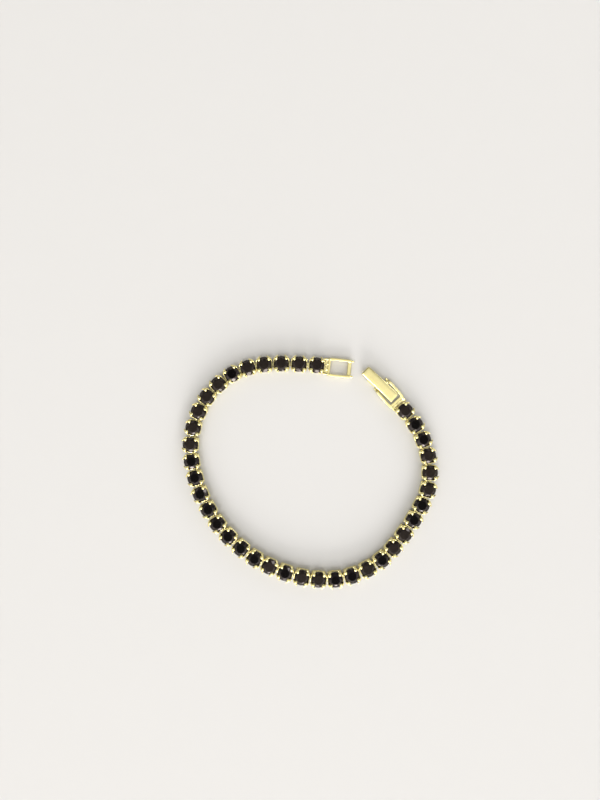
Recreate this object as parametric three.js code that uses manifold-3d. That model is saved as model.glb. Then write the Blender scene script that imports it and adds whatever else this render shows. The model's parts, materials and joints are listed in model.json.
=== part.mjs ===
// Tennis bracelet: 37 round black stones in gold-tone four-claw settings, hinged into a chain that
// lies as an open loop, with a fold-over clasp at one end and a catch frame at the other.
// Sizes are in millimetres and angles in degrees, +Z up. The bracelet lies flat on z = 0.

import * as THREE from 'three';
import { mergeVertices } from 'three/addons/utils/BufferGeometryUtils.js';
import Module from 'manifold-3d';

const wasm = await Module();
wasm.setup();

// ---- driving dimensions ----

const LINK_COUNT = 37;
const PITCH = 4.28; // along the chain, from one stone's centre to the next
const CATCH_PULL = [0.2, 0.15]; // added to the pitch at the first joints, which are pulled apart

// The chain's route, from the catch end to the clasp end, anticlockwise seen from above.
// Each row is a stretch of equal turns at the joints between neighbouring links.
const START_HEADING = 174;
const ROUTE = [
  { joints: 3, turn: 3.5 },
  { joints: 4, turn: 12.5 },
  { joints: 4, turn: 11 },
  { joints: 11, turn: 7 },
  { joints: 5, turn: 11 },
  { joints: 3, turn: 4 },
  { joints: 3, turn: 13.5 },
  { joints: 3, turn: 9.5 },
];

const STONE = { sides: 8, radius: 2.08, tableRadius: 1.3, culetZ: 0.7, girdleZ: 2.2, tableZ: 2.9 };

// A setting's own frame: x along the chain, y to the loop's inside, z up, the stone's axis at x = y = 0.
const BASE = { length: 3.54, width: 3.7, railWidth: 0.6, railHeight: 0.7, barWidth: 0.52 };
const HINGE_BAR = { bottom: 0.6, top: 1.0 }; // the base's raised end bar, which a tongue hooks round
const TONGUE = { width: 1.2, thickness: 0.3, hookStart: 3.45, hookEnd: 3.72, hookTop: 0.85 };
const CLAW = { thickness: 0.4, outer: 2.28, footInner: 1.98, tipInner: 1.62, footZ: 0.4, topZ: 3.05 };

// An end frame, measured outward from the axis of the stone that its plate is soldered to.
const PLATE = { start: 1.6, end: 2.95, width: 4.15, bottom: 0.5, top: 1.35 };
const RIDGE = { end: 3.45, bottom: 0.45, top: 1.5 }; // the frame's own bar, which the plate meets
const OPENING = { length: 4.3, width: 3.28 };
const RAIL = { width: 0.6, bow: 0.08, bottom: 0.35, top: 1.55 };
const BAR = { width: 0.93, height: 0.7, z: 0.95 };
const TIP = { diameter: 0.54, inset: 0.3, length: 1.63, sides: 6 };

// The fold-over clasp's own frame: x outward from the crossbar's axis, with z as the bracelet's.
const CLASP_SKEW = 5; // the loose tongue's turn on its crossbar, seen from above
const CLASP_SHIFT = 0.2; // and its slide along the crossbar, to the loop's inside
const CURL = { width: 2.36, inner: 0.85, wall: 0.3, bottom: 0.05, top: 1.85, lip: 0.5 };
const TRAY = { start: 1.55, end: 3.9, width: 2.94, wall: 0.3, height: 1.05 };
const STRAP = { width: 1.8, thickness: 0.3 };
const KNUCKLE = { x: 5.3, z: 0.95, outer: 0.68, inner: 0.46, width: 1.8, sides: 12 };
const PIN = { radius: 0.22, length: 2.7, sides: 8 };
const COVER = { start: -4.16, end: 6.2, width: 2.7, bottom: 2.05, top: 2.45 };
const COVER_CORNER = { inner: 0.35, outer: 0.6 }; // inner is on the loop's inside
const FLANGE = { thickness: 0.25, bottom: 1.75, freeEnd: -3.4, curlGap: 1.5, trayStart: 1.7 };
const EAR = { start: 4.6, end: 6.0, bottom: 0.25, bore: 0.42, sides: 8 };

// ---- materials ----

const GOLD = { color: 0xd9b45a, roughness: 0.22, metalness: 1 };
const STEEL = { color: 0xc9a24c, roughness: 0.3, metalness: 1 };
const finish = (look) => new THREE.MeshStandardMaterial(look);

// ---- small helpers ----

const radians = THREE.MathUtils.degToRad;

// A closed geometry as a solid that can be joined and cut.
function solid(geometry) {
  for (const name of ['normal', 'uv']) geometry.deleteAttribute(name);
  const merged = mergeVertices(geometry, 1e-4);
  return new wasm.Manifold(
    new wasm.Mesh({
      numProp: 3,
      vertProperties: merged.attributes.position.array,
      triVerts: new Uint32Array(merged.index.array),
    }),
  );
}

const join = (...parts) => parts.reduce((whole, part) => whole.add(part));

function toGeometry(body) {
  const { vertProperties, triVerts } = body.getMesh();
  const geometry = new THREE.BufferGeometry();
  geometry.setAttribute('position', new THREE.BufferAttribute(vertProperties, 3));
  geometry.setIndex(new THREE.BufferAttribute(triVerts, 1));
  return geometry;
}

// A box between two values on each axis.
function block([x0, x1], [y0, y1], [z0, z1]) {
  const box = new THREE.BoxGeometry(x1 - x0, y1 - y0, z1 - z0);
  return solid(box.translate((x0 + x1) / 2, (y0 + y1) / 2, (z0 + z1) / 2));
}

const span = (width) => [-width / 2, width / 2];

const outline = (points) => new THREE.Shape(points.map(([x, y]) => new THREE.Vector2(x, y)));

// An outline in plan, raised from one height to another.
function slab(shape, [z0, z1]) {
  const options = { depth: z1 - z0, bevelEnabled: false, curveSegments: 3 };
  return new THREE.ExtrudeGeometry(shape, options).translate(0, 0, z0);
}

// An outline drawn in x and z, of one width in y.
function sideProfile(shape, width) {
  const sheet = new THREE.ExtrudeGeometry(shape, { depth: width, bevelEnabled: false });
  return sheet.rotateX(Math.PI / 2).translate(0, width / 2, 0);
}

// A round bar of few sides along y, at a place in x and z.
function crossRod(radius, length, sides, x, z) {
  const rod = new THREE.CylinderGeometry(radius, radius, length, sides);
  return rod.rotateY(Math.PI / sides).translate(x, 0, z);
}

// ---- one setting and its stone ----

function stoneBody() {
  const profile = [
    [0, STONE.culetZ],
    [STONE.radius, STONE.girdleZ],
    [STONE.tableRadius, STONE.tableZ],
    [0, STONE.tableZ],
  ];
  const points = profile.map(([r, z]) => new THREE.Vector2(r, z));
  const turned = new THREE.LatheGeometry(points, STONE.sides, Math.PI / STONE.sides);
  return solid(turned.rotateX(Math.PI / 2));
}

// A claw rises from the base's corner and bends in over the stone's edge.
function clawBody(corner) {
  const { thickness, outer, footInner, tipInner, footZ, topZ } = CLAW;
  const profile = outline([
    [footInner, footZ],
    [outer, footZ],
    [outer, topZ - 0.3],
    [(outer + tipInner) / 2, topZ],
    [tipInner, topZ - 0.15],
  ]);
  return solid(sideProfile(profile, thickness).rotateZ(radians(45 + 90 * corner)));
}

// The base is a frame of two side rails and two end bars, and the raised one is the hinge bar.
function baseBody(hasHingeBar, hasTongue) {
  const { length, width, railWidth, railHeight, barWidth } = BASE;
  const [back, front] = span(length);
  const [right, left] = span(width);
  const fork = outline([
    [back, right],
    [front, right],
    [front, left],
    [back, left],
    [back, left - railWidth],
    [front - barWidth, left - railWidth],
    [front - barWidth, right + railWidth],
    [back, right + railWidth],
  ]);
  const rails = solid(slab(fork, [0, railHeight]));
  const barFoot = hasHingeBar ? HINGE_BAR.bottom : 0;
  const bar = block([back, back + barWidth], span(width), [barFoot, HINGE_BAR.top]);
  const parts = [rails, bar];
  if (hasTongue) parts.push(tongueBody(front - barWidth / 2));
  return join(...parts);
}

// The tongue runs under the next link's hinge bar and hooks up behind it.
function tongueBody(start) {
  const { width, thickness, hookStart, hookEnd, hookTop } = TONGUE;
  const profile = outline([
    [start, 0],
    [hookEnd, 0],
    [hookEnd, hookTop],
    [hookStart, hookTop],
    [hookStart, thickness],
    [start, thickness],
  ]);
  return solid(sideProfile(profile, width));
}

function settingBody({ hasHingeBar = true, hasTongue = true } = {}) {
  const claws = [0, 1, 2, 3].map(clawBody);
  return join(stoneBody(), ...claws, baseBody(hasHingeBar, hasTongue));
}

// ---- the end frames ----

const BAR_X = RIDGE.end + OPENING.length + BAR.width / 2; // the crossbar's axis
const RAIL_Y = OPENING.width / 2 + RAIL.width / 2; // a side rail's middle

function railBody(side) {
  const inner = OPENING.width / 2;
  const outer = inner + RAIL.width;
  const [start, end] = [PLATE.end - 0.3, BAR_X + 0.15];
  const middle = (start + end) / 2;
  const points = [
    [start, inner],
    [end, inner],
    [end + 0.25, inner + 0.15],
    [end + 0.25, outer - 0.2],
    [end, outer],
    [middle, outer + RAIL.bow],
    [start + 0.2, outer],
    [start, outer - 0.15],
  ];
  const shape = outline(points.map(([x, y]) => [x, side * y]));
  return solid(slab(shape, [RAIL.bottom, RAIL.top]));
}

function tipBody(side) {
  const rod = new THREE.CylinderGeometry(TIP.diameter / 2, TIP.diameter / 2, TIP.length, TIP.sides);
  const middle = BAR_X - BAR.width / 2 + TIP.length / 2;
  const y = side * (OPENING.width / 2 + TIP.inset);
  return solid(rod.rotateZ(Math.PI / 2).translate(middle, y, BAR.z));
}

function crossbarBody() {
  const [w, h] = [BAR.width / 2, BAR.height / 2];
  const corner = 0.3; // share of each half size that the bar's rounded corner takes
  const quarter = [
    [w, h * corner],
    [w * corner, h],
  ];
  const points = [
    ...quarter,
    ...quarter.map(([x, z]) => [-x, z]).reverse(),
    ...quarter.map(([x, z]) => [-x, -z]),
    ...quarter.map(([x, z]) => [x, -z]).reverse(),
  ];
  return solid(sideProfile(outline(points), OPENING.width + RAIL.width).translate(BAR_X, 0, BAR.z));
}

function frameBody() {
  const plate = block([PLATE.start, PLATE.end], span(PLATE.width), [PLATE.bottom, PLATE.top]);
  const ridge = block([PLATE.end - 0.1, RIDGE.end], span(2 * RAIL_Y), [RIDGE.bottom, RIDGE.top]);
  const sides = [-1, 1].flatMap((side) => [railBody(side), tipBody(side)]);
  return join(plate, ridge, crossbarBody(), ...sides);
}

// ---- the fold-over clasp ----

function clampTongueBody() {
  const { width, inner, wall, bottom, top, lip } = CURL;
  const outer = inner + wall;
  const curl = outline([
    [-outer, bottom],
    [TRAY.start + 0.1, bottom],
    [TRAY.start + 0.1, bottom + wall],
    [-inner, bottom + wall],
    [-inner, top - wall],
    [lip, top - wall],
    [lip, top],
    [-outer, top],
  ]);
  const trayFloor = block([TRAY.start, TRAY.end], span(TRAY.width), [bottom, bottom + wall]);
  const trayWalls = [-1, 1].map((side) => {
    const edges = [side * (TRAY.width / 2), side * (TRAY.width / 2 - TRAY.wall)].sort((a, b) => a - b);
    return block([TRAY.start, TRAY.end], edges, [bottom, TRAY.height]);
  });
  const strap = block([TRAY.end - 0.1, KNUCKLE.x], span(STRAP.width), [0.1, 0.1 + STRAP.thickness]);
  const rod = (radius, length) => solid(crossRod(radius, length, KNUCKLE.sides, KNUCKLE.x, KNUCKLE.z));
  const outside = join(strap, rod(KNUCKLE.outer, KNUCKLE.width));
  const knuckle = outside.subtract(rod(KNUCKLE.inner, KNUCKLE.width + 1));
  return join(solid(sideProfile(curl, width)), trayFloor, ...trayWalls, knuckle);
}

function coverOutline() {
  const { start, end, width } = COVER;
  const { inner, outer } = COVER_CORNER;
  const [low, high] = span(width);
  const shape = new THREE.Shape();
  shape.absarc(end - outer, low + outer, outer, -Math.PI / 2, 0);
  shape.absarc(end - inner, high - inner, inner, 0, Math.PI / 2);
  shape.absarc(start + inner, high - inner, inner, Math.PI / 2, Math.PI);
  shape.absarc(start + outer, low + outer, outer, Math.PI, 1.5 * Math.PI);
  return shape;
}

function coverBody() {
  const plate = solid(slab(coverOutline(), [COVER.bottom, COVER.top]));
  const sides = [-1, 1].flatMap((side) => {
    const y = [side * (COVER.width / 2), side * (COVER.width / 2 - FLANGE.thickness)].sort((a, b) => a - b);
    const z = [FLANGE.bottom, COVER.bottom + 0.1];
    return [
      block([FLANGE.freeEnd, -FLANGE.curlGap], y, z),
      block([FLANGE.trayStart, EAR.end], y, z),
      block([EAR.start, EAR.end], y, [EAR.bottom, COVER.bottom]),
    ];
  });
  const bore = solid(crossRod(EAR.bore, COVER.width + 1, EAR.sides, KNUCKLE.x, KNUCKLE.z));
  return join(plate, ...sides).subtract(bore);
}

// ---- the assembly ----

// The chain's route as one place and heading for each link.
function linkPlaces() {
  const turns = ROUTE.flatMap(({ joints, turn }) => Array(joints).fill(turn));
  const step = (heading) => new THREE.Vector2(Math.cos(radians(heading)), Math.sin(radians(heading)));
  const places = [{ heading: START_HEADING, point: new THREE.Vector2() }];
  turns.forEach((turn, i) => {
    const last = places.at(-1);
    const heading = last.heading + turn;
    const reach = (PITCH + (CATCH_PULL[i] ?? 0)) / 2;
    const joint = last.point.clone().addScaledVector(step(last.heading), reach);
    places.push({ heading, point: joint.addScaledVector(step(heading), reach) });
  });
  return places;
}

function named(name, body, look, parent) {
  const mesh = new THREE.Mesh(toGeometry(body), finish(look));
  mesh.name = name;
  parent.add(mesh);
  return mesh;
}

function placedGroup({ heading, point }, parent) {
  const group = new THREE.Group();
  group.position.set(point.x, point.y, 0);
  group.rotation.z = radians(heading);
  parent.add(group);
  return group;
}

const bracelet = new THREE.Group();
const places = linkPlaces();
if (places.length !== LINK_COUNT) throw new Error('the route has to place every link');

const plainLink = settingBody();
const lastLink = LINK_COUNT - 1;
places.slice(1, lastLink).forEach((place, i) => {
  const label = String(i + 2).padStart(2, '0');
  named(`link_${label}`, plainLink, GOLD, placedGroup(place, bracelet));
});

const frame = frameBody();
const catchEnd = join(settingBody({ hasHingeBar: false }), frame.rotate([0, 0, 180]));
named('catch_frame', catchEnd, GOLD, placedGroup(places[0], bracelet));

const claspEnd = placedGroup(places[lastLink], bracelet);
named('clasp_frame', join(settingBody({ hasTongue: false }), frame), GOLD, claspEnd);

const clasp = new THREE.Group();
clasp.position.set(BAR_X, CLASP_SHIFT, 0);
clasp.rotation.z = radians(CLASP_SKEW);
claspEnd.add(clasp);
named('clasp_tongue', clampTongueBody(), GOLD, clasp);
named('hinge_pin', solid(crossRod(PIN.radius, PIN.length, PIN.sides, KNUCKLE.x, KNUCKLE.z)), STEEL, clasp);
named('clasp_cover', coverBody(), GOLD, clasp);

// The origin is the middle of the bracelet's box, at the surface that it lies on.
const extent = new THREE.Box3().setFromObject(bracelet, true);
const middle = extent.getCenter(new THREE.Vector3());
bracelet.position.set(-middle.x, -middle.y, -extent.min.z);

export default bracelet;
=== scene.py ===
"""Looks for the tennis bracelet: cast gold-tone settings, faceted black stones and the fold-over clasp.

Shapes are worked out in millimetres and scaled to metres. A setting's own frame has x along the chain,
y to the loop's inside and z up, with the stone's axis at x = y = 0. The clasp's own frame has x outward
from the clasp frame's crossbar.
"""

import json
import math

import bmesh
import bpy
from mathutils import Matrix, Vector
from mathutils.bvhtree import BVHTree


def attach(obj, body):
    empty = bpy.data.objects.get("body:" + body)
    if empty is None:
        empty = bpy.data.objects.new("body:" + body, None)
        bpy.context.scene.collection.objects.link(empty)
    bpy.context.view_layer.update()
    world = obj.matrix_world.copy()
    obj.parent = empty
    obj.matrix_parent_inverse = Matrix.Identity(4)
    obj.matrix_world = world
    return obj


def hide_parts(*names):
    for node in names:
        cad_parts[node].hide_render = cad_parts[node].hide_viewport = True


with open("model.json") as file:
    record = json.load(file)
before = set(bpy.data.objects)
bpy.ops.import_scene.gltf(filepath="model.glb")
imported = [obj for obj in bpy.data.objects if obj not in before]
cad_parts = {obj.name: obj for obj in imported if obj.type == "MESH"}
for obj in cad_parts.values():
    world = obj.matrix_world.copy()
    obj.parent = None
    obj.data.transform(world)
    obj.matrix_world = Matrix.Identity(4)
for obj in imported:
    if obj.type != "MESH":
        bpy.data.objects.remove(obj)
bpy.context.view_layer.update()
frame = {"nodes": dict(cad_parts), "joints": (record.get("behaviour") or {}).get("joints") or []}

MM = 0.001
TAU = 2 * math.pi

# ---- sizes, in millimetres ----

PITCH = 4.28
LINK_COUNT = 37  # with the two settings that are soldered to the end frames
LOOSE = {"roll": 1.2, "pitch": 0.75}  # degrees, the most that a link leans in the chain

STONE = {
    "radius": 1.99, "table": 1.16, "star": 1.52,
    "table_z": 2.78, "girdle_high": 2.19, "girdle_low": 2.10, "culet_z": 0.62,
    "lower_half": 0.45,  # share of the radius at which the lower halves end
    "first_turn": -26, "turn_step": 32,  # degrees: each stone lies at its own turn in its setting
}
# stones whose tables are near black with almost no gloss, a painted dark reflection
BLACK_TABLE_STONES = {6, 12, 13, 14, 15, 16, 17, 18, 19, 21, 24, 25, 27, 30, 31, 35, 36}  # the others are brown-grey on table and crown, a painted reflection of a bright overhead light

SEAT = {"inner": 1.72, "outer": 1.90, "low": 1.60, "high": 2.06}
WALL = {"inner": 1.85, "outer": 2.07, "low": 1.35, "high": 2.22, "reach": 36}  # reach in degrees
BASE = {
    "length": 3.5, "width": 3.66, "height": 0.64, "rail": 0.5, "bar": 0.45,
    "corner": 0.5, "inner_corner": 0.3, "round": 0.2,
}
HINGE_BAR = {"radius": 0.2, "z": 0.8, "inset": 0.1}
TONGUE = {"width": 1.2, "thickness": 0.27, "bend": 0.3, "hook": 3.585, "hook_top": 0.85, "lean": 0.03}
CLAW_PATH = [
    # from foot to tip: distance from the stone's axis, height, half width across, half thickness
    {"r": 2.00, "z": 0.30, "across": 0.24, "thick": 0.15},
    {"r": 2.04, "z": 1.00, "across": 0.21, "thick": 0.14},
    {"r": 2.12, "z": 1.70, "across": 0.22, "thick": 0.15},
    {"r": 2.15, "z": 2.20, "across": 0.27, "thick": 0.17},
    {"r": 2.06, "z": 2.50, "across": 0.30, "thick": 0.20},
    {"r": 1.94, "z": 2.64, "across": 0.30, "thick": 0.24},
]
BEAD = {"r": 1.86, "z": 2.62, "length": 0.49, "width": 0.43, "height": 0.34}
ARMS = [
    # the two arms that reach from behind a claw along the stone's edge: turn, end radius, end size
    {"turn": -20, "r": 2.09, "size": 0.18},
    {"turn": 21, "r": 2.22, "size": 0.18},
]
ARM_ROOT = {"r": 2.17, "z": 2.40, "size": 0.21, "end_z": 2.36, "steps": 6}
ARM_HEIGHT = 1.5  # of its width

OVERLAP = 0.1  # how far solids that are fused run into one another
PLATE = {"start": 1.7, "end": 2.95, "width": 4.15, "low": 0.5, "high": 1.35}
LIP = {"radius": 0.17, "sunk": 0.03, "start_inset": 0.15, "end_inset": 0.05}  # along both sides of the plate
RIDGE = {"end": 3.45, "low": 0.45, "high": 1.5}
OPENING = {"length": 4.3, "width": 3.28}
RAIL = {
    "width": 0.68, "low": 0.35, "high": 1.57, "bow": 0.08, "squareness": 0.26,
    "into_plate": 0.12, "past_bar": 0.4, "steps": 24,
    "end_size": 0.78, "end_share": 0.125,  # how narrow its ends are, and the share of its length that narrows
}
BAR = {"width": 0.99, "height": 0.74, "z": 0.95, "squareness": 0.45}
BAR_X = RIDGE["end"] + OPENING["length"] + BAR["width"] / 2
TIP = {"radius": 0.27, "inset": 0.3, "length": 1.63}
SOLDER_ROWS = [
    # from the setting outward: distance from the plate's start, drops, their radius, height over radius
    {"x": 0.12, "count": 9, "radius": 0.18, "rise": 0.6},
    {"x": 0.42, "count": 8, "radius": 0.19, "rise": 0.40},
    {"x": 0.70, "count": 9, "radius": 0.17, "rise": 0.36},
    {"x": 0.96, "count": 8, "radius": 0.18, "rise": 0.38},
]
SOLDER = {"margin": 0.35, "stretch": 1.3, "sunk": 0.02, "stray_x": 0.09, "stray_y": 0.06, "uneven": 0.25}

CURL = {"width": 2.36, "inner": 0.85, "wall": 0.3, "low": 0.05, "high": 1.85, "lip": 0.5, "bend": 0.4}
TRAY = {
    "start": 1.55, "end": 3.9, "overlap": 0.2,
    "width": 2.94, "wall": 0.34, "high": 1.05, "slope": (0.22, 0.15),
}
STRAP = {"width": 1.8, "low": 0.1, "thickness": 0.3}
KNUCKLE = {"x": 5.3, "z": 0.95, "outer": 0.68, "inner": 0.32, "width": 1.8}
PIN = {"radius": 0.26, "length": 2.72}
PIN_END = [(0, 0.55), (0.03, 0.8), (0.08, 0.97), (0.12, 1.0)]  # distance from the end, share of the radius
COVER = {"start": -4.16, "end": 6.2, "width": 2.7, "low": 2.05}
COVER_CORNER = {"inner": 0.35, "outer": 0.6, "least": 0.05}
COVER_RISE = [
    # the cover's skin from its underside, round its edge and up to its crown: inset and height
    {"inset": 0.30, "z": 2.05},
    {"inset": 0.05, "z": 2.05},
    {"inset": 0.00, "z": 2.10},
    {"inset": 0.00, "z": 2.27},
    {"inset": 0.03, "z": 2.34},
    {"inset": 0.10, "z": 2.39},
    {"inset": 0.20, "z": 2.42},
    {"inset": 0.45, "z": 2.445},
    {"inset": 0.85, "z": 2.455},
]
FLANGE = {"thickness": 0.25, "low": 1.75, "free_end": -3.4, "curl_gap": 1.5, "tray_start": 1.7}
FLANGE_TRIM = {"inset": 0.02, "heights": (0, 2.2)}  # the flanges are cut to the cover's outline
EAR_RADIUS = 0.6

VOXEL = 0.05  # of the cast pieces
TRIANGLES = {"setting": 9000, "end_frame": 26000, "tongue": 16000}
TOP_DEPTH = 0.05  # points this near to a node's top are the tops of its claws
END_DEPTH = 0.1  # points this near to a node's farthest reach are its end
EDGE = {"bevel": 0.03, "segments": 2, "angle": 50, "merge": 0.002, "thin": 0.001}  # of the cover

# ---- looks ----

PLATED = {"deep": (0.88, 0.77, 0.34), "pale": (0.92, 0.83, 0.40), "rough": (0.10, 0.18), "grain": 0.08}
WORN = {"deep": (0.82, 0.68, 0.28), "pale": (0.90, 0.79, 0.38), "rough": (0.15, 0.28), "grain": 0.2}
LACQUER = {"weight": 0.8, "rough": 0.05}  # the clear coat
RECESS = {"reach": 2.0, "directions": 64, "lift": 0.02, "grazing": 0.1}  # reach and lift in millimetres
# painted shade: the dark brown that the gold takes in recesses, by how open a point lies
RECESS_SHADE = {"colour": (0.13, 0.085, 0.03), "dark_at": 0.5, "unshaded_at": 0.9}  # by how open a point lies
# painted reflection: the black looks stand for a dark reflection in the table, the grey looks for a bright
# overhead one on table and crown
STONE_LOOKS = {
    "black_facets": {"deep": (0.002, 0.0015, 0.002), "pale": (0.006, 0.0045, 0.005), "rough": (0.02, 0.07)},
    "black_table": {"deep": (0.0006, 0.0006, 0.0006), "pale": (0.002, 0.0015, 0.002), "rough": (0.02, 0.05)},
    "grey_facets": {"deep": (0.007, 0.0045, 0.0035), "pale": (0.015, 0.011, 0.008), "rough": (0.05, 0.13)},
    "grey_table": {"deep": (0.008, 0.005, 0.004), "pale": (0.015, 0.011, 0.008), "rough": (0.10, 0.20)},
}
# the black tables' gloss is kept near none, part of their painted dark reflection
STONE_GLOSS = {"black_facets": 0.65, "black_table": 0.05, "grey_facets": 0.45, "grey_table": 0.13}
STONE_IOR = 1.53
STONE_SHEEN = (1.0, 0.88, 0.82)
NOISE = {  # cells a metre and detail
    "gold_tone": (350, 3), "gold_rough": (2500, 4), "gold_grain": (9000, 2),
    "stone_tone": (900, 2), "stone_rough": (3000, 4),
}
NOISE_SPREAD = (0.3, 0.7)  # the part of the noise that is spread over the whole range
GRAIN_DEPTH = 0.00002  # in metres
MIX = {"share": 0, "first": 6, "second": 7, "result": 2}  # the sockets of a mix node that mixes colours

# ---- stage, in metres ----

FLOOR = {"radius": 3.0, "bend": 0.7, "wall": 1.3, "sides": 96}
FLOOR_LOOK = {"colour": (0.70, 0.692, 0.68), "rough": 0.85, "gloss": 0.2}
SKY = {"bright_side": (0.05, -0.9, 0.6), "from": 0.0, "to": 0.95, "low": 0.2, "high": 1.65}
SKY_COLOUR = (1.0, 0.985, 0.96)
LIGHTS = [
    {"name": "window", "place": (0.2, -2.2, 0.64), "target": (0, 0, 0), "size": (1.1, 1.1),
     "power": 40.0, "colour": (1.0, 0.97, 0.955)},
    {"name": "lamp", "place": (-0.2, -0.25, 0.8), "target": (0, 0, 0), "size": (0.1, 0.1),
     "power": 1.0, "colour": (1.0, 0.98, 0.94)},
    {"name": "fill", "place": (0.7, 0.5, 0.5), "target": (0, 0, 0), "size": (0.2, 0.3),
     "power": 1.0, "colour": (0.96, 0.98, 1.0)},
    {"name": "wall_wash", "place": (0, -1.2, 1.5), "target": (0, -3.2, 0.4), "size": (4.0, 0.5),
     "power": 36.0, "colour": (1, 1, 1)},
]
CAMERA = {"place": (-0.0026, 0.01805, 0.15275), "near": 0.005, "far": 20.0}
LENS = {"focal": 27.0, "sensor": 36.0}  # in millimetres

# ---- building solids ----


def polygon_tube(bm, rings):
    """Joins rings of points into a closed solid with flat ends."""
    loops = [[bm.verts.new(p) for p in ring] for ring in rings]
    count = len(loops[0])
    for low, high in zip(loops, loops[1:]):
        for i in range(count):
            j = (i + 1) % count
            bm.faces.new((low[i], low[j], high[j], high[i]))
    bm.faces.new(list(reversed(loops[0])))
    bm.faces.new(loops[-1])


def box(bm, x, y, z):
    """A block between two values of each of x, y and z."""
    corners = [(x[0], y[0]), (x[1], y[0]), (x[1], y[1]), (x[0], y[1])]
    polygon_tube(bm, [[Vector((a, b, height)) for a, b in corners] for height in z])


def ellipsoid(bm, place, radii, segments=20, rings=12):
    shape = place @ Matrix.Diagonal((*radii, 1))
    bmesh.ops.create_uvsphere(bm, u_segments=segments, v_segments=rings, radius=1, matrix=shape)


def sweep(bm, stations, sides=16):
    """A rod through stations of (centre, one half axis, other half axis)."""
    rings = []
    for centre, one, other in stations:
        angles = [TAU * k / sides for k in range(sides)]
        rings.append([centre + one * math.cos(a) + other * math.sin(a) for a in angles])
    polygon_tube(bm, rings)


def rod(bm, start, end, one, other, sides=16):
    sweep(bm, [(start, one, other), (end, one, other)], sides)


def arc_wall(bm, inner, outer, low, high, start, end, steps=12):
    """A curved wall between two angles, or a whole ring."""
    whole = abs(end - start) >= 360
    angles = [math.radians(start + (end - start) * k / steps) for k in range(steps + 1)]
    section = [(inner, low), (outer, low), (outer, high), (inner, high)]
    rings = [[Vector((r * math.cos(a), r * math.sin(a), z)) for r, z in section] for a in angles]
    if not whole:
        polygon_tube(bm, rings)
        return
    loops = [[bm.verts.new(p) for p in ring] for ring in rings[:-1]]
    for k, low_loop in enumerate(loops):
        high_loop = loops[(k + 1) % len(loops)]
        for i in range(4):
            j = (i + 1) % 4
            bm.faces.new((low_loop[i], low_loop[j], high_loop[j], high_loop[i]))


def side_profile(bm, points, width):
    """An outline in x and z with one width in y."""
    polygon_tube(bm, [[Vector((x, y, z)) for x, z in points] for y in (-width / 2, width / 2)])


def evaluated(obj):
    """The mesh that an object's modifiers make."""
    graph = bpy.context.evaluated_depsgraph_get()
    return bpy.data.meshes.new_from_object(obj.evaluated_get(graph))


def link_object(name, data):
    obj = bpy.data.objects.new(name, data)
    bpy.context.scene.collection.objects.link(obj)
    return obj


def mesh_from(bm, name):
    """A mesh from a bmesh, with its faces pointing out."""
    bmesh.ops.recalc_face_normals(bm, faces=bm.faces)
    mesh = bpy.data.meshes.new(name)
    bm.to_mesh(mesh)
    bm.free()
    return mesh


def cast(name, bm, triangles, rounds=3):
    """One cast piece: overlapping solids are fused into one skin with small fillets."""
    mesh = mesh_from(bm, name)
    blank = link_object(name + "_blank", mesh)
    remesh = blank.modifiers.new("fuse", "REMESH")
    remesh.mode = "VOXEL"
    remesh.voxel_size = VOXEL
    smooth = blank.modifiers.new("fillet", "SMOOTH")
    smooth.factor = 0.5
    smooth.iterations = rounds
    fused = evaluated(blank)
    bpy.data.objects.remove(blank)
    bpy.data.meshes.remove(mesh)
    thin = link_object(name + "_thin", fused)
    decimate = thin.modifiers.new("thin", "DECIMATE")
    fused.calc_loop_triangles()
    decimate.ratio = min(1.0, triangles / len(fused.loop_triangles))
    result = evaluated(thin)
    bpy.data.objects.remove(thin)
    bpy.data.meshes.remove(fused)
    return finished(result, name)


def finished(mesh, name, smooth=True):
    """A mesh in metres, shaded smooth or flat."""
    mesh.name = name
    mesh.transform(Matrix.Scale(MM, 4))
    for face in mesh.polygons:
        face.use_smooth = smooth
    return mesh


def sphere_directions(count):
    """Directions spread evenly over a sphere."""
    turn = math.pi * (3 - math.sqrt(5))
    directions = []
    for k in range(count):
        z = 1 - (2 * k + 1) / count
        r = math.sqrt(1 - z * z)
        directions.append(Vector((r * math.cos(turn * k), r * math.sin(turn * k), z)))
    return directions


def mark_recesses(mesh, neighbours=()):
    """Stores on each point how open it lies: 1 on a free face and towards 0 in a recess.

    neighbours are the (mesh, place) pairs that stand in the way beside the mesh itself.
    """
    points, faces = [], []
    for other, place in [(mesh, Matrix()), *neighbours]:
        first = len(points)
        points += [place @ vertex.co for vertex in other.vertices]
        faces += [[first + i for i in face.vertices] for face in other.polygons]
    tree = BVHTree.FromPolygons(points, faces)
    reach = RECESS["reach"] * MM
    directions = sphere_directions(RECESS["directions"])
    values = []
    for vertex in mesh.vertices:
        start = vertex.co + vertex.normal * RECESS["lift"] * MM
        seen = blocked = 0.0
        for ray in directions:
            weight = ray.dot(vertex.normal)
            if weight < RECESS["grazing"]:
                continue
            seen += weight
            distance = tree.ray_cast(start, ray, reach)[3]
            if distance is not None:
                blocked += weight * (1 - distance / reach)
        values.append(1 - blocked / seen)
    mesh.attributes.new("open", "FLOAT", "POINT").data.foreach_set("value", values)
    return mesh


# ---- one setting ----


def claw(bm, quarter):
    """A claw that leans out from the base and bends in to a bead over the stone's edge."""
    turn = Matrix.Rotation(math.radians(45 + 90 * quarter), 3, "Z")
    points = [Vector((row["r"], 0, row["z"])) for row in CLAW_PATH]
    stations = []
    for k, row in enumerate(CLAW_PATH):
        ahead = points[min(k + 1, len(points) - 1)] - points[max(k - 1, 0)]
        normal = Vector((ahead.z, 0, -ahead.x)).normalized()
        across = Vector((0, row["across"], 0))
        stations.append((turn @ points[k], turn @ (normal * row["thick"]), turn @ across))
    sweep(bm, stations)
    bead = Matrix.Translation(turn @ Vector((BEAD["r"], 0, BEAD["z"]))) @ turn.to_4x4()
    ellipsoid(bm, bead, (BEAD["length"], BEAD["width"], BEAD["height"]))


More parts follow.
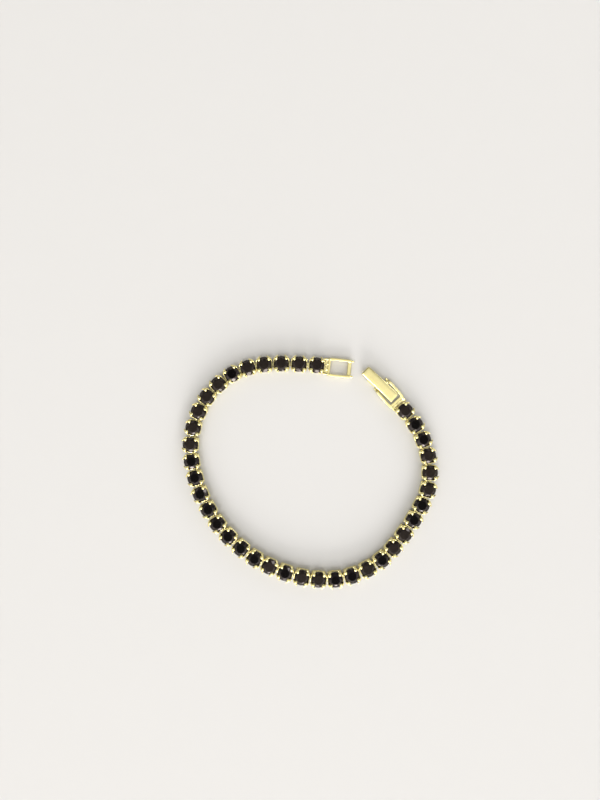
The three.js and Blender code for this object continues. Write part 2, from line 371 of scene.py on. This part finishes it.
def arms(bm, quarter):
    """Two small arms beside a claw. Each thins towards a round end that hugs the stone's edge.

    The arms of the four claws mirror one another.
    """
    sign_x, sign_y = [(1, 1), (-1, 1), (-1, -1), (1, -1)][quarter]
    for arm in ARMS:
        points = []
        for k in range(ARM_ROOT["steps"] + 1):
            t = k / ARM_ROOT["steps"]
            a = math.radians(45 + arm["turn"] * t)
            r = ARM_ROOT["r"] + (arm["r"] - ARM_ROOT["r"]) * t * t
            z = ARM_ROOT["z"] + (ARM_ROOT["end_z"] - ARM_ROOT["z"]) * t
            size = ARM_ROOT["size"] + (arm["size"] - ARM_ROOT["size"]) * t
            points.append((Vector((sign_x * r * math.cos(a), sign_y * r * math.sin(a), z)), size))
        stations = []
        for k, (centre, size) in enumerate(points):
            before, after = points[max(k - 1, 0)][0], points[min(k + 1, len(points) - 1)][0]
            side = (after - before).cross(Vector((0, 0, 1))).normalized() * size
            stations.append((centre, side, Vector((0, 0, ARM_HEIGHT * size))))
        sweep(bm, stations, 12)
        end, size = points[-1]
        ellipsoid(bm, Matrix.Translation(end), (size, size, ARM_HEIGHT * size), 14, 10)


def quarter_arc(centre_x, centre_y, radius, first, steps):
    """Points on a quarter of a circle, from the angle first."""
    angles = [math.radians(first + 90 * k / steps) for k in range(steps + 1)]
    return [(centre_x + radius * math.cos(a), centre_y + radius * math.sin(a)) for a in angles]


def rounded_outline(half_x, half_y, radius, steps=6):
    x, y = half_x - radius, half_y - radius
    corners = [(x, y, 0), (-x, y, 90), (-x, -y, 180), (x, -y, 270)]
    return [p for cx, cy, first in corners for p in quarter_arc(cx, cy, radius, first, steps)]


def base_frame(bm, hinge_bar, tongue):
    """A rounded frame under the stone, a round bar for the tongue of the link before, and its own tongue."""
    half_length, half_width = BASE["length"] / 2, BASE["width"] / 2
    rail, bar = BASE["rail"], BASE["bar"]
    inside = rounded_outline(half_length - bar, half_width - rail, BASE["inner_corner"])
    edges = [(inside, BASE["height"]), (inside, 0.0)]
    edges.append((rounded_outline(half_length, half_width, BASE["corner"]), 0.0))
    for k in range(5):
        a = math.pi / 8 * k
        drawn_in, drop = BASE["round"] * (1 - math.cos(a)), BASE["round"] * (1 - math.sin(a))
        outside = rounded_outline(half_length - drawn_in, half_width - drawn_in, BASE["corner"] - drawn_in)
        edges.append((outside, BASE["height"] - drop))
    loops = [[bm.verts.new((x, y, z)) for x, y in line] for line, z in edges]
    count = len(inside)
    for k, loop in enumerate(loops):
        after = loops[(k + 1) % len(loops)]
        for i in range(count):
            j = (i + 1) % count
            bm.faces.new((loop[i], loop[j], after[j], after[i]))
    bar_x = -half_length + bar / 2
    reach = half_width - HINGE_BAR["inset"]
    if hinge_bar:
        for side in (-1, 1):
            edges = sorted((side * reach, side * (half_width - rail)))
            box(bm, (-half_length, -half_length + bar), edges, (0, HINGE_BAR["z"] + HINGE_BAR["radius"]))
        start, end = Vector((bar_x, -reach, HINGE_BAR["z"])), Vector((bar_x, reach, HINGE_BAR["z"]))
        rod(bm, start, end, Vector((HINGE_BAR["radius"], 0, 0)), Vector((0, 0, HINGE_BAR["radius"])))
    if tongue:
        hook_strip(bm, half_length - bar)


def strip_outline(path, thickness):
    """The outline of a bent strip whose middle line is path, in x and z."""
    left, right = [], []
    for k, point in enumerate(path):
        before, after = path[max(k - 1, 0)], path[min(k + 1, len(path) - 1)]
        along = (Vector(after) - Vector(before)).normalized()
        normal = Vector((-along.y, along.x)) * thickness / 2
        left.append(Vector(point) + normal)
        right.append(Vector(point) - normal)
    return left + right[::-1]


def hook_strip(bm, start):
    """The tongue runs under the next hinge bar and curls up behind it."""
    half, bend = TONGUE["thickness"] / 2, TONGUE["bend"]
    path = [(start, half), (TONGUE["hook"] - bend, half)]
    for k in range(1, 7):
        a = math.radians(15 * k)
        path.append((TONGUE["hook"] - bend + bend * math.sin(a), half + bend * (1 - math.cos(a))))
    path.append((TONGUE["hook"] - TONGUE["lean"], TONGUE["hook_top"]))
    side_profile(bm, strip_outline(path, TONGUE["thickness"]), TONGUE["width"])


def add_setting(bm, hinge_bar=True, tongue=True):
    """The seat ring, the two curved walls, the claws with their arms, and the base frame."""
    arc_wall(bm, SEAT["inner"], SEAT["outer"], SEAT["low"], SEAT["high"], 0, 360, 48)
    for middle_angle in (0, 180):
        start, end = middle_angle - WALL["reach"], middle_angle + WALL["reach"]
        arc_wall(bm, WALL["inner"], WALL["outer"], WALL["low"], WALL["high"], start, end, 16)
    for quarter in range(4):
        claw(bm, quarter)
        arms(bm, quarter)
    base_frame(bm, hinge_bar, tongue)


def setting_mesh():
    bm = bmesh.new()
    add_setting(bm)
    return cast("setting", bm, TRIANGLES["setting"])


# ---- one stone ----


def ring_points(radius, height, count, offset=0.0):
    angles = [TAU * (k + offset) / count for k in range(count)]
    return [(radius * math.cos(a), radius * math.sin(a), height) for a in angles]


def stone_mesh():
    """A round brilliant: table, stars, bezels and upper halves above, mains and lower halves below."""
    bm = bmesh.new()
    rise = (STONE["table_z"] - STONE["girdle_high"]) / (STONE["radius"] - STONE["table"])
    star_z = STONE["girdle_high"] + (STONE["radius"] - STONE["star"] * math.cos(TAU / 16)) * rise
    table = [bm.verts.new(p) for p in ring_points(STONE["table"], STONE["table_z"], 8)]
    star = [bm.verts.new(p) for p in ring_points(STONE["star"], star_z, 8, 0.5)]
    upper = [bm.verts.new(p) for p in ring_points(STONE["radius"], STONE["girdle_high"], 16)]
    lower = [bm.verts.new(p) for p in ring_points(STONE["radius"], STONE["girdle_low"], 16)]
    fall = (STONE["girdle_low"] - STONE["culet_z"]) / STONE["radius"]
    half_r = STONE["radius"] * STONE["lower_half"]
    half_z = STONE["culet_z"] + half_r * math.cos(TAU / 16) * fall
    half = [bm.verts.new(p) for p in ring_points(half_r, half_z, 8, 0.5)]
    culet = bm.verts.new((0, 0, STONE["culet_z"]))
    bm.faces.new(table).material_index = 1
    for k in range(8):
        after = (k + 1) % 8
        edge, middle, edge_after = 2 * k, 2 * k + 1, (2 * k + 2) % 16
        bm.faces.new((table[k], star[k], table[after]))
        bm.faces.new((table[k], star[k - 1], upper[edge], star[k]))
        bm.faces.new((star[k], upper[edge], upper[middle]))
        bm.faces.new((star[k], upper[middle], upper[edge_after]))
        bm.faces.new((half[k], lower[middle], lower[edge]))
        bm.faces.new((half[k], lower[edge_after], lower[middle]))
        bm.faces.new((culet, half[k], lower[edge], half[k - 1]))
    for k in range(16):
        after = (k + 1) % 16
        bm.faces.new((upper[k], lower[k], lower[after], upper[after]))
    return finished(mesh_from(bm, "stone"), "stone", smooth=False)


# ---- the end frames ----


def square_ring(centre, across, up, squareness, sides=28):
    """A closed section between an ellipse (squareness 1) and a rectangle (towards 0)."""
    ring = []
    for j in range(sides):
        c, s = math.cos(TAU * j / sides), math.sin(TAU * j / sides)
        share = math.copysign(abs(c) ** squareness, c), math.copysign(abs(s) ** squareness, s)
        ring.append(centre + across * share[0] + up * share[1])
    return ring


def side_rail(bm, side):
    """A side rail: a bar with rounded edges, bowed a little outward, that narrows at both ends."""
    start, end = PLATE["end"] - RAIL["into_plate"], BAR_X + RAIL["past_bar"]
    middle_y = (OPENING["width"] + RAIL["width"]) / 2
    middle_z = (RAIL["low"] + RAIL["high"]) / 2
    rings = []
    for k in range(RAIL["steps"] + 1):
        t = k / RAIL["steps"]
        ends = min(1.0, min(t, 1 - t) / RAIL["end_share"])
        size = RAIL["end_size"] + (1 - RAIL["end_size"]) * math.sin(ends * math.pi / 2)
        bow = RAIL["bow"] * math.sin(math.pi * t)
        centre = Vector((start + (end - start) * t, side * (middle_y + bow), middle_z))
        across = Vector((0, size * RAIL["width"] / 2, 0))
        up = Vector((0, 0, size * (RAIL["high"] - RAIL["low"]) / 2))
        rings.append(square_ring(centre, across, up, RAIL["squareness"]))
    polygon_tube(bm, rings)
    tip_start = Vector((BAR_X - BAR["width"] / 2, side * (OPENING["width"] / 2 + TIP["inset"]), BAR["z"]))
    tip_end = tip_start + Vector((TIP["length"] - TIP["radius"], 0, 0))
    rod(bm, tip_start, tip_end, Vector((0, TIP["radius"], 0)), Vector((0, 0, TIP["radius"])))
    ellipsoid(bm, Matrix.Translation(tip_end), (TIP["radius"],) * 3)


def add_end_frame(bm):
    """The plate with its lips, ridge and solder, the two side rails and the crossbar."""
    reach = OPENING["width"] / 2 + RAIL["width"] / 2
    half_plate = PLATE["width"] / 2
    half_bar = Vector((BAR["width"] / 2, 0, 0)), Vector((0, 0, BAR["height"] / 2))
    box(bm, (PLATE["start"], PLATE["end"]), (-half_plate, half_plate), (PLATE["low"], PLATE["high"]))
    box(bm, (PLATE["end"] - OVERLAP, RIDGE["end"]), (-reach, reach), (RIDGE["low"], RIDGE["high"]))
    bar_ends = [Vector((BAR_X, y, BAR["z"])) for y in (-reach, reach)]
    polygon_tube(bm, [square_ring(end, *half_bar, BAR["squareness"]) for end in bar_ends])
    for side in (-1, 1):
        side_rail(bm, side)
        lip_y, lip_z = side * (half_plate - LIP["radius"]), PLATE["high"] - LIP["sunk"]
        lip_x = PLATE["start"] + LIP["start_inset"], PLATE["end"] - LIP["end_inset"]
        lip = [Vector((x, lip_y, lip_z)) for x in lip_x]
        rod(bm, *lip, Vector((0, LIP["radius"], 0)), Vector((0, 0, LIP["radius"])))
        for end in lip:
            ellipsoid(bm, Matrix.Translation(end), (LIP["radius"],) * 3)
    solder(bm)


def solder(bm):
    """Drops of solder: full ones along the seam with the setting, and flat ones over the plate.

    Their places and sizes follow sines of unrelated steps, which makes them uneven.
    """
    for row_number, row in enumerate(SOLDER_ROWS):
        for k in range(row["count"]):
            phase = k + 0.37 * row_number
            y = (k / (row["count"] - 1) - 0.5) * (PLATE["width"] - 2 * SOLDER["margin"])
            y += SOLDER["stray_y"] * math.sin(5.1 * phase)
            x = PLATE["start"] + row["x"] + SOLDER["stray_x"] * math.cos(1.9 * phase)
            radius = row["radius"] * (1 + SOLDER["uneven"] * math.sin(2.3 * phase + 0.7))
            drop = Matrix.Translation((x, y, PLATE["high"] - SOLDER["sunk"]))
            ellipsoid(bm, drop, (radius, SOLDER["stretch"] * radius, row["rise"] * radius), 12, 8)


def end_frame_mesh(name, outward):
    """The end frame with the setting that it is soldered to. outward is 1 along the chain's x, or -1."""
    bm = bmesh.new()
    add_end_frame(bm)
    if outward < 0:
        bmesh.ops.rotate(bm, verts=bm.verts, cent=(0, 0, 0), matrix=Matrix.Rotation(math.pi, 3, "Z"))
    add_setting(bm, hinge_bar=outward > 0, tongue=outward < 0)
    return cast(name, bm, TRIANGLES["end_frame"])


# ---- the clasp's moving pieces ----


def tongue_mesh():
    """The leaf: a curl round the crossbar, a tray with side walls, and a strap with the hinge's knuckle."""
    bm = bmesh.new()
    middle = CURL["inner"] + CURL["wall"] / 2
    low, high = CURL["low"] + CURL["wall"] / 2, CURL["high"] - CURL["wall"] / 2
    bend = CURL["bend"]
    path = [(TRAY["start"] + TRAY["overlap"], low), (-middle + bend, low)]
    for k in range(1, 7):
        a = math.radians(15 * k)
        path.append((-middle + bend - bend * math.sin(a), low + bend * (1 - math.cos(a))))
    for k in range(7):
        a = math.radians(15 * k)
        path.append((-middle + bend * (1 - math.cos(a)), high - bend + bend * math.sin(a)))
    path.append((CURL["lip"], high))
    side_profile(bm, strip_outline(path, CURL["wall"]), CURL["width"])
    half = TRAY["width"] / 2
    ends = (TRAY["start"], TRAY["end"])
    box(bm, ends, (-half, half), (CURL["low"], CURL["low"] + CURL["wall"]))
    inside = half - TRAY["wall"]
    slope_y, slope_z = half - TRAY["slope"][0], TRAY["high"] - TRAY["slope"][1]
    section = [(half, CURL["low"]), (half, slope_z), (slope_y, TRAY["high"])]
    section += [(inside, TRAY["high"]), (inside, CURL["low"])]
    for side in (-1, 1):
        polygon_tube(bm, [[Vector((x, side * y, z)) for y, z in section] for x in ends])
    strap_x = TRAY["end"] - TRAY["overlap"], KNUCKLE["x"]
    strap_y = -STRAP["width"] / 2, STRAP["width"] / 2
    box(bm, strap_x, strap_y, (STRAP["low"], STRAP["low"] + STRAP["thickness"]))
    add_knuckle(bm)
    return cast("clasp_tongue_leaf", bm, TRIANGLES["tongue"], rounds=2)


def add_knuckle(bm):
    """A tube on the pin's axis."""
    tube = bmesh.new()
    half = KNUCKLE["width"] / 2
    arc_wall(tube, KNUCKLE["inner"], KNUCKLE["outer"], -half, half, 0, 360, 32)
    place = Matrix.Translation((KNUCKLE["x"], 0, KNUCKLE["z"])) @ Matrix.Rotation(math.pi / 2, 4, "X")
    bmesh.ops.transform(tube, matrix=place, verts=tube.verts)
    mesh = mesh_from(tube, "knuckle")
    bm.from_mesh(mesh)
    bpy.data.meshes.remove(mesh)


def pin_mesh():
    """A round pin with rounded ends."""
    bm = bmesh.new()
    half = PIN["length"] / 2
    profile = [(-half + inset, share) for inset, share in PIN_END]
    profile += [(-y, share) for y, share in reversed(profile)]
    rings = []
    for y, share in profile:
        circle = ring_points(share * PIN["radius"], 0, 32)
        rings.append([Vector((KNUCKLE["x"] + x, y, KNUCKLE["z"] + z)) for x, z, _ in circle])
    polygon_tube(bm, rings)
    return finished(mesh_from(bm, "hinge_pin_rivet"), "hinge_pin_rivet")


def cover_edge(inset, steps=8):
    """The cover's outline, moved in by inset."""
    start, end = COVER["start"] + inset, COVER["end"] - inset
    half = COVER["width"] / 2 - inset
    inner = max(COVER_CORNER["inner"] - inset, COVER_CORNER["least"])
    outer = max(COVER_CORNER["outer"] - inset, COVER_CORNER["least"])
    corners = [(end - outer, -half + outer, outer, 270), (end - inner, half - inner, inner, 0)]
    corners += [(start + inner, half - inner, inner, 90), (start + outer, -half + outer, outer, 180)]
    return [p for cx, cy, radius, first in corners for p in quarter_arc(cx, cy, radius, first, steps)]


def cover_mesh():
    """A crowned plate with flanges and ears under it, which are cut to its outline."""
    bm = bmesh.new()
    rings = [[Vector((x, y, row["z"])) for x, y in cover_edge(row["inset"])] for row in COVER_RISE]
    polygon_tube(bm, rings)
    under = bmesh.new()
    half = COVER["width"] / 2
    heights = (FLANGE["low"], COVER["low"] + OVERLAP)
    for side in (-1, 1):
        edges = sorted((side * (half + OVERLAP), side * (half - FLANGE["thickness"])))
        box(under, (FLANGE["free_end"], -FLANGE["curl_gap"]), edges, heights)
        box(under, (FLANGE["tray_start"], KNUCKLE["x"] + EAR_RADIUS), edges, heights)
        polygon_tube(under, [[Vector((x, y, z)) for x, z in ear_outline()] for y in edges])
    outline = bmesh.new()
    edge = cover_edge(FLANGE_TRIM["inset"])
    polygon_tube(outline, [[Vector((x, y, z)) for x, y in edge] for z in FLANGE_TRIM["heights"]])
    flanges = combined(solid("cover_under", under), solid("cover_outline", outline), "INTERSECT")
    return finished(softened(combined(solid("cover_skin", bm), flanges, "UNION")), "clasp_cover_shell")


def ear_outline(steps=12):
    """An ear is round about the pin and runs up into the cover."""
    x, z, top = KNUCKLE["x"], KNUCKLE["z"], COVER["low"] + OVERLAP
    points = [(x + EAR_RADIUS, top)]
    for k in range(steps + 1):
        a = -math.pi * k / steps
        points.append((x + EAR_RADIUS * math.cos(a), z + EAR_RADIUS * math.sin(a)))
    points.append((x - EAR_RADIUS, top))
    return points


def solid(name, bm):
    """A working object from a bmesh."""
    return link_object(name, mesh_from(bm, name))


def combined(body, other, operation):
    """The exact union or intersection of two working objects, as a new one."""
    modifier = body.modifiers.new("combine", "BOOLEAN")
    modifier.operation = operation
    modifier.solver = "EXACT"
    modifier.use_self = True
    modifier.object = other
    result = link_object(body.name + "_combined", evaluated(body))
    bpy.data.objects.remove(body)
    bpy.data.objects.remove(other)
    return result


def softened(body):
    """The mesh of a working object with its sharp edges rounded, and points that nearly meet joined."""
    bevel = body.modifiers.new("soften", "BEVEL")
    bevel.width = EDGE["bevel"]
    bevel.segments = EDGE["segments"]
    bevel.angle_limit = math.radians(EDGE["angle"])
    mesh = evaluated(body)
    bpy.data.objects.remove(body)
    bm = bmesh.new()
    bm.from_mesh(mesh)
    bmesh.ops.remove_doubles(bm, verts=bm.verts, dist=EDGE["merge"])
    bmesh.ops.dissolve_degenerate(bm, edges=bm.edges, dist=EDGE["thin"])
    bm.to_mesh(mesh)
    bm.free()
    return mesh


# ---- materials ----


def new_material(name):
    material = bpy.data.materials.new(name)
    material.use_nodes = True
    return material, material.node_tree.nodes, material.node_tree.links


def noise(nodes, links, kind):
    """Noise in the piece's own space, as coarse and detailed as NOISE says."""
    place = nodes.new("ShaderNodeTexCoord")
    texture = nodes.new("ShaderNodeTexNoise")
    texture.inputs["Scale"].default_value, texture.inputs["Detail"].default_value = NOISE[kind]
    links.new(place.outputs["Object"], texture.inputs["Vector"])
    return texture.outputs["Fac"]


def spread_noise(nodes, links, kind, low, high):
    """Noise whose middle part is spread from low to high."""
    spread = nodes.new("ShaderNodeMapRange")
    spread.inputs["From Min"].default_value, spread.inputs["From Max"].default_value = NOISE_SPREAD
    spread.inputs["To Min"].default_value = low
    spread.inputs["To Max"].default_value = high
    links.new(noise(nodes, links, kind), spread.inputs["Value"])
    return spread.outputs["Result"]


def mixed(nodes, links, share, first, second):
    """A colour between the colour first and second, which is a colour or another node's output."""
    mix = nodes.new("ShaderNodeMix")
    mix.data_type = "RGBA"
    mix.inputs[MIX["first"]].default_value = (*first, 1)
    if isinstance(second, tuple):
        mix.inputs[MIX["second"]].default_value = (*second, 1)
    else:
        links.new(second, mix.inputs[MIX["second"]])
    links.new(share, mix.inputs[MIX["share"]])
    return mix.outputs[MIX["result"]]


def unshaded_share(nodes, links):
    """How free of painted shade a point is: from 0 in a recess to 1 on open metal, by the mark that
    mark_recesses left on each point.
    """
    mark = nodes.new("ShaderNodeAttribute")
    mark.attribute_name = "open"
    clear = nodes.new("ShaderNodeMapRange")
    clear.interpolation_type = "SMOOTHSTEP"
    clear.inputs["From Min"].default_value = RECESS_SHADE["dark_at"]
    clear.inputs["From Max"].default_value = RECESS_SHADE["unshaded_at"]
    links.new(mark.outputs["Fac"], clear.inputs["Value"])
    return clear.outputs["Result"]


def gold_material(name, look, recess_shaded=False):
    """Plated metal under clear lacquer. A recess-shaded one carries painted shade: it goes dark brown in its
    recesses.
    """
    material, nodes, links = new_material(name)
    shader = nodes["Principled BSDF"]
    shader.inputs["Metallic"].default_value = 1.0
    shader.inputs["Coat Weight"].default_value = LACQUER["weight"]
    shader.inputs["Coat Roughness"].default_value = LACQUER["rough"]
    tone = spread_noise(nodes, links, "gold_tone", 0.0, 1.0)
    colour = mixed(nodes, links, tone, look["deep"], look["pale"])
    if recess_shaded:
        # painted shade: the colour goes to dark brown where a point lies in a recess
        colour = mixed(nodes, links, unshaded_share(nodes, links), RECESS_SHADE["colour"], colour)
    links.new(colour, shader.inputs["Base Color"])
    links.new(spread_noise(nodes, links, "gold_rough", *look["rough"]), shader.inputs["Roughness"])
    relief = nodes.new("ShaderNodeBump")
    relief.inputs["Strength"].default_value = look["grain"]
    relief.inputs["Distance"].default_value = GRAIN_DEPTH
    links.new(noise(nodes, links, "gold_grain"), relief.inputs["Height"])
    links.new(relief.outputs["Normal"], shader.inputs["Normal"])
    return material


def stone_material(name):
    """Polished black stone, as its row in STONE_LOOKS says: the black looks have near-black tables with
    almost no gloss, a painted dark reflection; the grey looks have a brown-grey tone on table and crown, a
    painted reflection of a bright overhead light.
    """
    look = STONE_LOOKS[name]
    material, nodes, links = new_material(name)
    shader = nodes["Principled BSDF"]
    shader.inputs["IOR"].default_value = STONE_IOR
    shader.inputs["Specular IOR Level"].default_value = STONE_GLOSS[name]
    shader.inputs["Specular Tint"].default_value = (*STONE_SHEEN, 1)
    tone = spread_noise(nodes, links, "stone_tone", 0.0, 1.0)
    links.new(mixed(nodes, links, tone, look["deep"], look["pale"]), shader.inputs["Base Color"])
    links.new(spread_noise(nodes, links, "stone_rough", *look["rough"]), shader.inputs["Roughness"])
    return material


def floor_material():
    material, nodes, _ = new_material("pale_floor")
    shader = nodes["Principled BSDF"]
    shader.inputs["Base Color"].default_value = (*FLOOR_LOOK["colour"], 1)
    shader.inputs["Roughness"].default_value = FLOOR_LOOK["rough"]
    shader.inputs["Specular IOR Level"].default_value = FLOOR_LOOK["gloss"]
    return material


# ---- places, read from the frame ----


def node_points(node):
    return [v.co.copy() for v in frame["nodes"][node].data.vertices]


def box_middle(points):
    low = Vector([min(p[k] for p in points) for k in range(3)])
    high = Vector([max(p[k] for p in points) for k in range(3)])
    return (low + high) / 2


def setting_place(node, far_side=1):
    """The axis of the stone in a node, from its claw tops, and the way along the chain.

    The node's far end lies ahead in the chain, or behind where far_side is -1.
    """
    points = node_points(node)
    top = max(p.z for p in points)
    centre = box_middle([p for p in points if p.z > top - TOP_DEPTH * MM])
    centre.z = 0
    flat = [Vector((p.x, p.y, 0)) - centre for p in points]
    reach = max(p.length for p in flat)
    ahead = box_middle([p for p in flat if p.length > reach - END_DEPTH * MM]) * far_side
    return Matrix.Translation(centre) @ Matrix.Rotation(math.atan2(ahead.y, ahead.x), 4, "Z")


def clasp_place():
    """The clasp's own frame: its pin is the cover's hinge."""
    hinge = next(j for j in frame["joints"] if j["name"] == "cover_hinge")
    pivot = next(j for j in frame["joints"] if j["name"] == "tongue_pivot")
    pin, bar = Vector(hinge["pos_m"]), Vector(pivot["pos_m"])
    across = Vector(hinge["axis"]).normalized()
    outward = across.cross(Vector((0, 0, 1)))
    if outward.dot(pin - bar) < 0:
        outward = -outward
    origin = pin - outward * KNUCKLE["x"] * MM
    turn = math.atan2(outward.y, outward.x)
    return Matrix.Translation((origin.x, origin.y, 0)) @ Matrix.Rotation(turn, 4, "Z")


def loose_tilt(index):
    """The small roll and pitch that a link keeps as it lies in the chain, on its lowest foot.

    They follow sines of unrelated steps along the chain.
    """
    roll = math.radians(LOOSE["roll"]) * math.sin(2.4 * index)
    pitch = math.radians(LOOSE["pitch"]) * math.sin(1.7 * index + 1)
    turn = Matrix.Rotation(roll, 4, "X") @ Matrix.Rotation(pitch, 4, "Y")
    ends = (-BASE["length"] / 2, TONGUE["hook"])
    corners = [(x, side * BASE["width"] / 2) for x in ends for side in (-1, 1)]
    feet = [turn @ Vector((x * MM, y * MM, 0)) for x, y in corners]
    return Matrix.Translation((0, 0, -min(foot.z for foot in feet))) @ turn


def put(name, mesh, place, materials, body, replaced=()):
    """Places a copy of a mesh as a piece that rides on a body."""
    own = mesh.copy()
    own.name = name
    for material in materials:
        own.materials.append(material)
    obj = link_object(name, own)
    obj.matrix_world = place
    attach(obj, body)
    if replaced:
        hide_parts(*replaced)


# ---- stage ----


def area_light(name, place, target, size, power, colour):
    light = bpy.data.lights.new(name, "AREA")
    light.shape = "RECTANGLE"
    light.size, light.size_y = size
    light.energy = power
    light.color = colour
    obj = link_object(name, light)
    obj.location = place
    obj.rotation_euler = (Vector(target) - Vector(place)).to_track_quat("-Z", "Y").to_euler()
    obj.visible_camera = False


def floor_mesh():
    """A round floor that sweeps up all round into a low wall."""
    flat, bend = FLOOR["radius"] - FLOOR["bend"], FLOOR["bend"]
    profile = [(flat, 0.0)]
    for k in range(1, 13):
        a = math.radians(7.5 * k)
        profile.append((flat + bend * math.sin(a), bend * (1 - math.cos(a))))
    profile.append((FLOOR["radius"], FLOOR["wall"]))
    bm = bmesh.new()
    rings = [[bm.verts.new(p) for p in ring_points(r, z, FLOOR["sides"])] for r, z in profile]
    bm.faces.new(rings[0])
    for low, high in zip(rings, rings[1:]):
        for k in range(FLOOR["sides"]):
            after = (k + 1) % FLOOR["sides"]
            bm.faces.new((low[k], low[after], high[after], high[k])).smooth = True
    mesh = bpy.data.meshes.new("floor")
    bm.to_mesh(mesh)
    bm.free()
    mesh.materials.append(floor_material())
    return mesh


def make_sky():
    """A soft light that is brighter towards one side."""
    world = bpy.data.worlds.new("studio")
    bpy.context.scene.world = world
    world.use_nodes = True
    nodes, links = world.node_tree.nodes, world.node_tree.links
    place = nodes.new("ShaderNodeTexCoord")
    towards = nodes.new("ShaderNodeVectorMath")
    towards.operation = "DOT_PRODUCT"
    towards.inputs[1].default_value = Vector(SKY["bright_side"]).normalized()
    fall = nodes.new("ShaderNodeMapRange")
    fall.interpolation_type = "SMOOTHSTEP"
    fall.inputs["From Min"].default_value = SKY["from"]
    fall.inputs["From Max"].default_value = SKY["to"]
    fall.inputs["To Min"].default_value = SKY["low"]
    fall.inputs["To Max"].default_value = SKY["high"]
    background = nodes["Background"]
    background.inputs["Color"].default_value = (*SKY_COLOUR, 1)
    links.new(place.outputs["Generated"], towards.inputs[0])
    links.new(towards.outputs["Value"], fall.inputs["Value"])
    links.new(fall.outputs["Result"], background.inputs["Strength"])


def make_camera():
    """The camera looks straight down."""
    camera = bpy.data.cameras.new("camera")
    camera.lens = LENS["focal"]
    camera.sensor_width = LENS["sensor"]
    camera.clip_start = CAMERA["near"]
    camera.clip_end = CAMERA["far"]
    obj = link_object("camera", camera)
    obj.location = CAMERA["place"]
    bpy.context.scene.camera = obj


# ---- the bracelet ----

# the cast pieces carry painted shade in their recesses
cast_gold = [gold_material("cast_gold", PLATED, recess_shaded=True)]
cover_gold = [gold_material("cover_gold", PLATED)]
pin_gold = [gold_material("pin_gold", WORN)]
# two looks of the stone that paint a dark or a bright overhead reflection
black_stone_look = [stone_material("black_facets"), stone_material("black_table")]
grey_stone_look = [stone_material("grey_facets"), stone_material("grey_table")]

places = {index: setting_place(f"link_{index:02d}") for index in range(2, LINK_COUNT)}
places[1] = setting_place("catch_frame", -1)
places[LINK_COUNT] = setting_place("clasp_frame")

stone = stone_mesh()
setting = setting_mesh()
own_stone = (stone, Matrix())  # in the setting itself
beside = [Matrix.Translation((PITCH * MM * side, 0, 0)) for side in (-1, 1)]
# how open each point lies, which sets the painted shade in the recesses
mark_recesses(setting, [own_stone] + [(mesh, place) for mesh in (stone, setting) for place in beside])

for index in range(1, LINK_COUNT + 1):
    place = places[index]
    if 1 < index < LINK_COUNT:
        place = place @ loose_tilt(index)
        put(f"setting_{index:02d}", setting, place, cast_gold, "root", [f"link_{index:02d}"])
    # painted reflection: black tables on the listed stones, brown-grey table and crown on the others
    look = black_stone_look if index in BLACK_TABLE_STONES else grey_stone_look
    turn = math.radians(STONE["first_turn"] + STONE["turn_step"] * index)
    place = place @ Matrix.Rotation(turn, 4, "Z")
    put(f"stone_{index:02d}", stone, place, look, "root")

for node, index, outward in (("catch_frame", 1, -1), ("clasp_frame", LINK_COUNT, 1)):
    name = node + "_cast"
    end_frame = mark_recesses(end_frame_mesh(name, outward), [own_stone])
    put(name, end_frame, places[index], cast_gold, "root", [node])

clasp = clasp_place()
leaf = mark_recesses(tongue_mesh())
put("clasp_tongue_leaf", leaf, clasp, cast_gold, "tongue", ["clasp_tongue"])
put("hinge_pin_rivet", pin_mesh(), clasp, pin_gold, "cover", ["hinge_pin"])
put("clasp_cover_shell", cover_mesh(), clasp, cover_gold, "cover", ["clasp_cover"])

link_object("floor", floor_mesh())
make_sky()
for row in LIGHTS:
    area_light(**row)
make_camera()
bpy.context.scene.view_settings.view_transform = "Standard"
